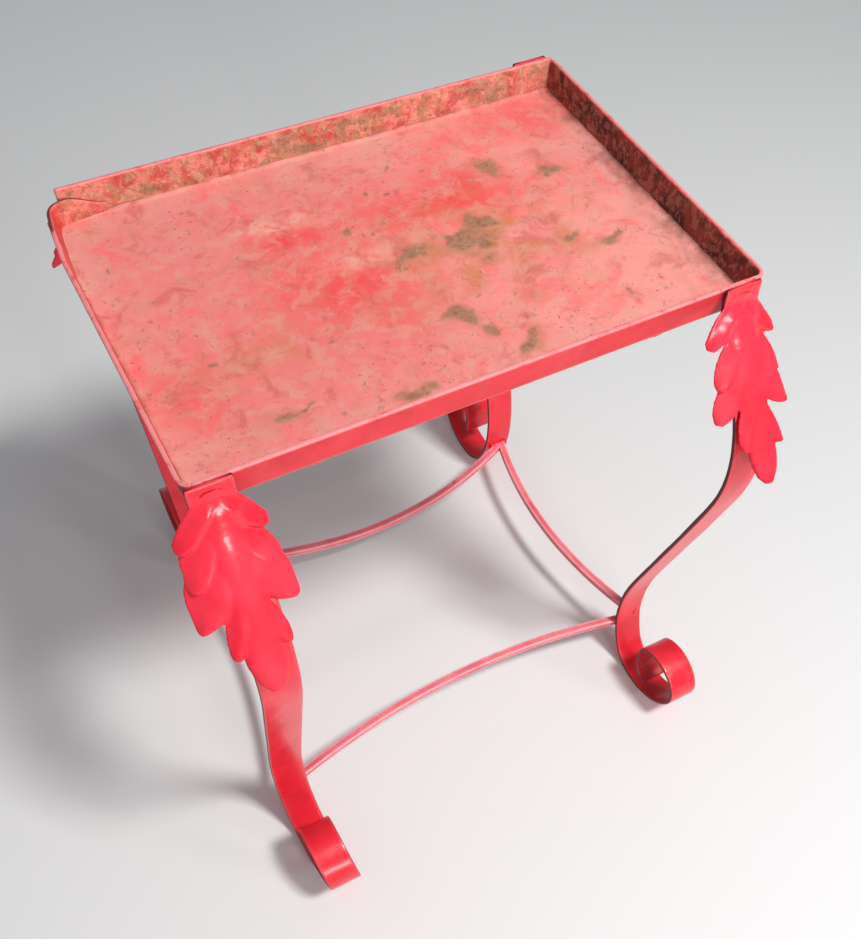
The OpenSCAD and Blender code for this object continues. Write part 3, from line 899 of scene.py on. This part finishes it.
def make_tray(material):
    """Floor sheet with gentle dents, built-up paint round its edge and raised rust scabs."""
    grid = 1.4 * MM
    columns, rows = round(PANEL.x / grid), round(PANEL.y / grid)
    # The sheet runs a little way into the rails, so that no gap shows beside it
    lap = 0.8 * MM
    x = np.linspace(-PANEL.x / 2 - lap, PANEL.x / 2 + lap, columns + 1)
    y = np.linspace(-PANEL.y / 2 - lap, PANEL.y / 2 + lap, rows + 1)
    plan = np.stack(np.meshgrid(x, y), 2).reshape(-1, 2)
    flat = np.concatenate([plan, np.zeros((len(plan), 1))], 1)
    moved = plan + 9 * MM * ruffle(flat, 24 * MM, (80, 90))
    scab = strongest(moved + 3 * MM * ruffle(flat, 5 * MM, (81, 91)), SCABS)
    ragged = scab + 0.35 * fractal(flat, 5 * MM, 4, 33)
    rust = rise(ragged, 0.24, 0.75) * rise(scab, 0.1, 0.3) * 0.67
    halo = rise(scab + 0.3 * fractal(flat, 12 * MM, 4, 43), 0.02, 0.5) * 0.6
    crumbs = rise(fractal(flat, 6 * MM, 4, 35) + 0.5 * fractal(flat, 60 * MM, 2, 36), 0.72, 0.9)
    rust = np.maximum(rust, crumbs * 0.7)
    side = np.minimum(PANEL.x / 2 - np.abs(plan[:, 0]), PANEL.y / 2 - np.abs(plan[:, 1]))
    fillet = np.clip(1 - side / (3.2 * MM), 0, 1) ** 2
    height = 0.5 * MM * fractal(flat, 80 * MM, 3, 31) + 0.09 * MM * fractal(flat, 11 * MM, 3, 32)
    height += rust * MM * (0.35 + 0.35 * fractal(flat, 2.6 * MM, 3, 34))
    height += 1.3 * MM * fillet * (1 + 0.3 * value_noise(flat, 9 * MM, 37))
    # A band along the right rail and the fillet round the rim get painted shade mixed with dirt
    right = rise(plan[:, 0], PANEL.x / 2 - 17 * MM, PANEL.x / 2 - 4 * MM)
    rim_shade_and_dirt = np.maximum(right * 0.5, fillet * 0.5) * rise(fractal(flat, 9 * MM, 4, 38), -0.5, 0.5)
    pale = rise(-side, -34 * MM, -4 * MM) * (0.5 + 0.5 * fractal(flat, 30 * MM, 3, 39))
    edges = blob(moved, 0.8, 0.85, 60, 30) + blob(moved, -0.86, -0.41, 24, 26)
    coral = np.maximum(strongest(moved, CORAL_PATCHES) * 0.95, edges * 0.6)
    ochre = blob(moved, 0.3, -0.1, 70, 40) + blob(moved, -0.6, -0.35, 40, 16) * 0.6
    smear = blob(moved, -0.34, 0.55, 30, 10) + 0.6 * blob(moved, -0.1, 0.1, 44, 8)
    top = flat + (0, 0, 1) * (FLOOR_LEVEL + height)[:, None]
    bottom = flat + (0, 0, FLOOR_LEVEL - PANEL.z)
    bottom[:, 2] += 0.5 * MM * fractal(flat, 80 * MM, 3, 31)
    across = columns + 1
    faces = []
    for row in range(rows):
        i = np.arange(columns) + row * across
        faces += np.stack([i, i + 1, i + 1 + across, i + across], 1).tolist()
    count = len(plan)
    faces += [[i + count for i in reversed(face)] for face in faces]
    loop = list(range(columns))
    loop += [columns + row * across for row in range(rows)]
    loop += [rows * across + i for i in range(columns, 0, -1)]
    loop += [row * across for row in range(rows, 0, -1)]
    faces += [[b, a, a + count, b + count] for a, b in zip(loop, loop[1:] + loop[:1])]
    bright = rise(plan[:, 0], -50 * MM, 80 * MM) * 0.9
    values = {"rust": rust, "rim_shade_and_dirt": rim_shade_and_dirt, "pale": pale, "coral": coral, "ochre": ochre}
    values.update(smear=smear, halo=halo, bright=bright)
    # The underside is marked like the top, only fainter
    doubled = {key: np.clip(np.concatenate([v, v * 0.3]), 0, 1) for key, v in values.items()}
    vertices = np.concatenate([top, bottom])
    make("tray_sheet", vertices, faces, material, "tray_paint", "tray_panel", **doubled)


# ---- stretchers ----

def stretcher_paths():
    """Path of each stretcher along its middle, following the bent legs."""
    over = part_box("front_stretcher")[1].x - LEG_X["front_right"]
    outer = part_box("right_stretcher")[1].x - ROD / 2 - LEG_X["front_right"]
    paths = {}
    for name, first, second, shift in (
        ("front_stretcher", "front_left", "front_right", over),
        ("back_stretcher", "back_left", "back_right", over),
        ("left_stretcher", "front_left", "back_left", outer),
        ("right_stretcher", "front_right", "back_right", outer),
    ):
        ends, strayed = [], []
        for corner in (first, second):
            sx, sy = CORNERS[corner]
            inward = ROD / 2 if shift == over else 0
            slip = SLIPS.get((name, corner), 0)
            y = sy * (ANKLE_Y - inward - ANKLE_LEAN * slip)
            end = np.array([(LEG_X[corner] + sx * shift, y, STRETCHER_LEVEL + slip)])
            ends.append(bend(corner, end)[0])
            strayed.append(ends[-1] - end[0])
        size = span(name)
        bow = (size.y if shift == over else span("right_stretcher").x) - ROD
        t = np.linspace(0, 1, 200)[:, None]
        path = ends[0] * (1 - t) + ends[1] * t
        sx, sy = CORNERS[first]
        inward = np.array((0, -sy, 0) if shift == over else (-sx, 0, 0))
        bow -= np.dot(strayed[0] + strayed[1], inward) / 2
        path = path + 4 * t * (1 - t) * bow * inward
        paths[name] = resample(path, STEP)
    return paths


def make_stretcher(name, path, material):
    """Square bar with eased arrises and a slightly wandering line."""
    seed = 100 + len(name)
    path = path + 0.4 * MM * np.stack([value_noise(path, 60 * MM, seed + i) for i in range(3)], 1)
    along = directions(path)
    across = np.cross(along, (0.0, 0.0, 1.0))
    across /= np.linalg.norm(across, axis=1)[:, None]
    up = np.cross(across, along)
    rings, normals, edges = sweep(path, across, up, ROD, ROD, ROD_ARRIS, across=4, up=4)
    points, ways = rings.reshape(-1, 3), normals.reshape(-1, 3)
    points = points + ways * (0.12 * MM * fractal(points, 8 * MM, 3, seed))[:, None]
    vertices, faces = tube(points.reshape(rings.shape))
    rust = rise(fractal(vertices, 13 * MM, 4, seed + 7), 0.7, 0.9) * 0.6
    values = {"edge": capped(edges, 1.0), "rust": rust}
    make("bar_" + name, vertices, faces, material, "stretcher_paint", name, **values)


# ---- welds ----

# Radius of each kind of bead, and half the length of a tack
TOP_BEAD = 1.4 * MM
ANKLE_BEAD = 3.6 * MM
ROOT_BEAD = 1.0 * MM
CORNER_BEAD = 2.2 * MM
TACK_BEAD = 1.9 * MM
TACK_HALF = 4 * MM


def lump(centre, radius, rng):
    """Rings of a rough ball of weld metal."""
    rows, around = 10, 14
    polar = np.linspace(0.15, math.pi - 0.15, rows)[:, None]
    turn = np.linspace(0, 2 * math.pi, around, endpoint=False)[None, :]
    ball = [np.sin(polar) * np.cos(turn), np.sin(polar) * np.sin(turn), -np.cos(polar) + 0 * turn]
    stretch = radius * rng.uniform(0.85, 1.15, 3)
    return np.asarray(centre) + np.stack(ball, 2)[::-1] * stretch


def make_welds(name, node, runs, material, seed):
    """Beads of weld along runs, each a list of two ends and a radius."""
    rng = np.random.default_rng(seed)
    lumps = []
    for start, stop, radius in runs:
        start, stop = np.array(start, float), np.array(stop, float)
        count = max(2, round(np.linalg.norm(stop - start) / (radius * 0.6)))
        for k in range(count + 1):
            centre = start + (stop - start) * k / count
            centre = centre + rng.uniform(-0.12, 0.12, 3) * radius
            lumps.append(lump(centre, radius * rng.uniform(0.85, 1.1), rng))
    mesh = fuse(*gather(lumps), 0.5 * MM, 4)
    points = roughen(mesh, 0.2 * MM, 3 * MM, 3, seed)
    # Depth in the hollows, which the paint darkens as painted shade
    crease = hollows(mesh, 2)
    rust = rise(fractal(points, 6 * MM, 3, seed + 4), 0.5, 0.8) * 0.6
    adopt(name, mesh, material, "weld_paint", node, rust=rust, crease=crease)


def moved_run(corner, start, stop, radius):
    """A weld's run, moved with its bent leg."""
    return *bend(corner, np.array([start, stop], float)), radius


def make_all_welds(material):
    """Beads on the leg tops, ankles and leaf roots, in the tray's corners and under its floor."""
    half = BAR_WIDTH / 2 - 3 * MM
    root_half = half * 0.6
    corner_inset = 4.6 * MM
    tops, ankles, roots, corners = [], [], [], []
    for corner, (sx, sy) in CORNERS.items():
        x = LEG_X[corner]
        cut = BENDS[corner].cut
        y, z = sy * (HALF_DEPTH - 0.4 * MM), RIM - 1.6 * MM - cut
        tops.append(moved_run(corner, (x - half, y, z), (x + half, y, z), TOP_BEAD))
        y = sy * (ANKLE_Y - 1.5 * MM)
        facing = "front_stretcher" if sy < 0 else "back_stretcher"
        beside = "left_stretcher" if sx < 0 else "right_stretcher"
        near = (x - sx * 6 * MM, y, STRETCHER_LEVEL + SLIPS.get((facing, corner), 0))
        far = (x + sx * 7 * MM, y, STRETCHER_LEVEL + SLIPS.get((beside, corner), 0))
        ankles.append(moved_run(corner, near, far, ANKLE_BEAD))
        y, z = sy * (HALF_DEPTH + BAR_THICKNESS - 0.6 * MM), RIM - LEAF_START - cut - 2 * MM
        roots.append(moved_run(corner, (x - root_half, y, z), (x + root_half, y, z), ROOT_BEAD))
        spot = np.array((sx * (HALF_LENGTH - corner_inset), sy * (HALF_DEPTH - corner_inset), 0))
        if corner == "back_left":
            spot = spot + (-4 * MM * sx, -2 * MM * sy, 0)
        low, high = RIM - RAIL_HEIGHT + 3 * MM, RIM - 17 * MM
        corners.append((spot + (0, 0, low), spot + (0, 0, high), CORNER_BEAD))
    tacks = []
    under = FLOOR_LEVEL - PANEL.z - 0.8 * MM
    for sy, i in itertools.product((-1, 1), (-1, 0, 1)):
        x, y = i * HALF_LENGTH * 0.6, sy * PANEL.y / 2
        tacks.append(((x - TACK_HALF, y, under), (x + TACK_HALF, y, under), TACK_BEAD))
    for sx, i in itertools.product((-1, 1), (-1, 1)):
        x, y = sx * PANEL.x / 2, i * HALF_DEPTH * 0.5
        tacks.append(((x, y - TACK_HALF, under), (x, y + TACK_HALF, under), TACK_BEAD))
    make_welds("weld_leg_tops", "leg_top_welds", tops, material, 201)
    make_welds("weld_ankles", "stretcher_welds", ankles, material, 202)
    make_welds("weld_leaf_roots", "leaf_welds", roots, material, 203)
    make_welds("weld_tray_corners", "corner_welds", corners, material, 204)
    make_welds("weld_panel_tacks", "panel_tack_welds", tacks, material, 205)


# ---- stage ----

# Camera: azimuth, elevation and roll in degrees, place, lens and sensor in millimetres, and
# lens shift as shares of the sensor
CAMERA_ANGLES = (34.895, 59.721, 6.527)
CAMERA_PLAN = (-0.21916, -0.43864)
CAMERA_ABOVE_RIM = 0.37464
CAMERA_LENS = 37.776
CAMERA_SENSOR = 36
CAMERA_SHIFT = {"shift_x": -0.0485, "shift_y": 0.1868}


def make_floor():
    """Plain pale floor."""
    half = 4.0
    mesh = bpy.data.meshes.new("floor")
    corners = [(-half, -half, 0), (half, -half, 0), (half, half, 0), (-half, half, 0)]
    mesh.from_pydata(corners, [], [(0, 1, 2, 3)])
    floor = bpy.data.objects.new("floor", mesh)
    bpy.context.scene.collection.objects.link(floor)
    material = bpy.data.materials.new("floor")
    material.use_nodes = True
    shader = material.node_tree.nodes["Principled BSDF"]
    shader.inputs["Base Color"].default_value = colour(226, 226, 224)
    shader.inputs["Roughness"].default_value = 0.8
    mesh.materials.append(material)


def make_light(name, place, target, size, power, mirrored=True):
    """Square lamp aimed at a target; glossy paint mirrors it or doesn't."""
    light = bpy.data.lights.new(name, "AREA")
    light.size = size
    light.energy = power
    lamp = bpy.data.objects.new(name, light)
    lamp.location = place
    lamp.visible_glossy = mirrored
    toward = Vector(target) - Vector(place)
    lamp.rotation_mode = "QUATERNION"
    lamp.rotation_quaternion = toward.to_track_quat("-Z", "Y")
    bpy.context.scene.collection.objects.link(lamp)


def make_camera():
    """Camera at the photograph's place, looking down at the stand and rolled slightly.

    Its lens is shifted, as the photograph is cropped off centre. The shift holds only at that
    place: elsewhere its driver takes it away, so that other views stay centred.
    """
    azimuth, elevation, roll = (math.radians(a) for a in CAMERA_ANGLES)
    place = Vector((*CAMERA_PLAN, RIM + CAMERA_ABOVE_RIM))
    level = math.cos(elevation)
    forward = Vector((math.sin(azimuth) * level, math.cos(azimuth) * level, -math.sin(elevation)))
    right = forward.cross(Vector((0, 0, 1))).normalized()
    up = right.cross(forward)
    turned = right * math.cos(roll) + up * math.sin(roll)
    upright = up * math.cos(roll) - right * math.sin(roll)
    data = bpy.data.cameras.new("camera")
    data.lens = CAMERA_LENS
    data.sensor_width = CAMERA_SENSOR
    camera = bpy.data.objects.new("camera", data)
    bpy.context.scene.collection.objects.link(camera)
    matrix = Matrix((turned, upright, -forward)).transposed().to_4x4()
    matrix.translation = place
    camera.matrix_world = matrix
    bpy.context.scene.camera = camera
    for path, amount in CAMERA_SHIFT.items():
        follow = data.driver_add(path)
        follow.driver.type = "AVERAGE"
        variable = follow.driver.variables.new()
        variable.name = "height"
        variable.type = "TRANSFORMS"
        variable.targets[0].id = camera
        variable.targets[0].transform_type = "LOC_Z"
        variable.targets[0].transform_space = "WORLD_SPACE"
        for modifier in list(follow.modifiers):
            follow.modifiers.remove(modifier)
        near = 10 * MM
        for height, value in ((0, 0), (place.z - near, amount), (place.z + near, 0)):
            follow.keyframe_points.insert(height, value).interpolation = "CONSTANT"


def make_world():
    """Even, dim studio surroundings."""
    world = bpy.data.worlds.new("studio")
    world.use_nodes = True
    background = world.node_tree.nodes["Background"]
    background.inputs["Color"].default_value = (0.9, 0.93, 1.0, 1)
    background.inputs["Strength"].default_value = 0.3
    bpy.context.scene.world = world
    bpy.context.scene.view_settings.view_transform = "Standard"


leg_paint = enamel(
    "leg_paint", colour(230, 40, 56), colour(216, 28, 44),
    fade=0.2, rough=0.3, wear_and_glint=0.15, coat=0.15)
leaf_paint = enamel(
    "leaf_paint", colour(238, 46, 68), colour(228, 30, 52),
    fade=0.0, rough=0.3, wear_and_glint=0.0, coat=0.3)
rail_paint = enamel(
    "rail_paint", colour(222, 40, 52), colour(200, 24, 38),
    fade=0.2, rough=0.36, wear_and_glint=0.8, coat=0.0, worn_and_glint=colour(240, 150, 150), inner=True)
# Stretcher paint: its pale arris colour is partly a painted highlight line along the bars
bar_paint = enamel(
    "stretcher_paint", colour(242, 124, 134), colour(222, 88, 100),
    fade=0.5, rough=0.4, wear_and_glint=1.0, coat=0.1, worn_and_glint=colour(244, 172, 176))
weld_paint = enamel(
    "weld_paint", colour(226, 38, 54), colour(200, 26, 40),
    fade=0.1, rough=0.34, wear_and_glint=0.0, coat=0.1)

make_tray(tray_enamel())
for rail in FLAKINESS:
    make_rail(rail, rail_paint)
for leg in CORNERS:
    make_leg(leg, leg_paint)
    make_leaf(leg, leaf_paint)
for bar, line in stretcher_paths().items():
    make_stretcher(bar, line, bar_paint)
make_all_welds(weld_paint)

make_floor()
make_light("key", (0.5, -0.85, 1.9), (0, 0, 0.3), 0.32, 32)
make_light("window", (0.0, -1.65, 0.62), (0, 0, 0.25), 0.3, 7)
make_light("fill", (1.0, -1.5, 0.7), (0, 0, 0.25), 0.3, 5, mirrored=False)
make_world()
make_camera()
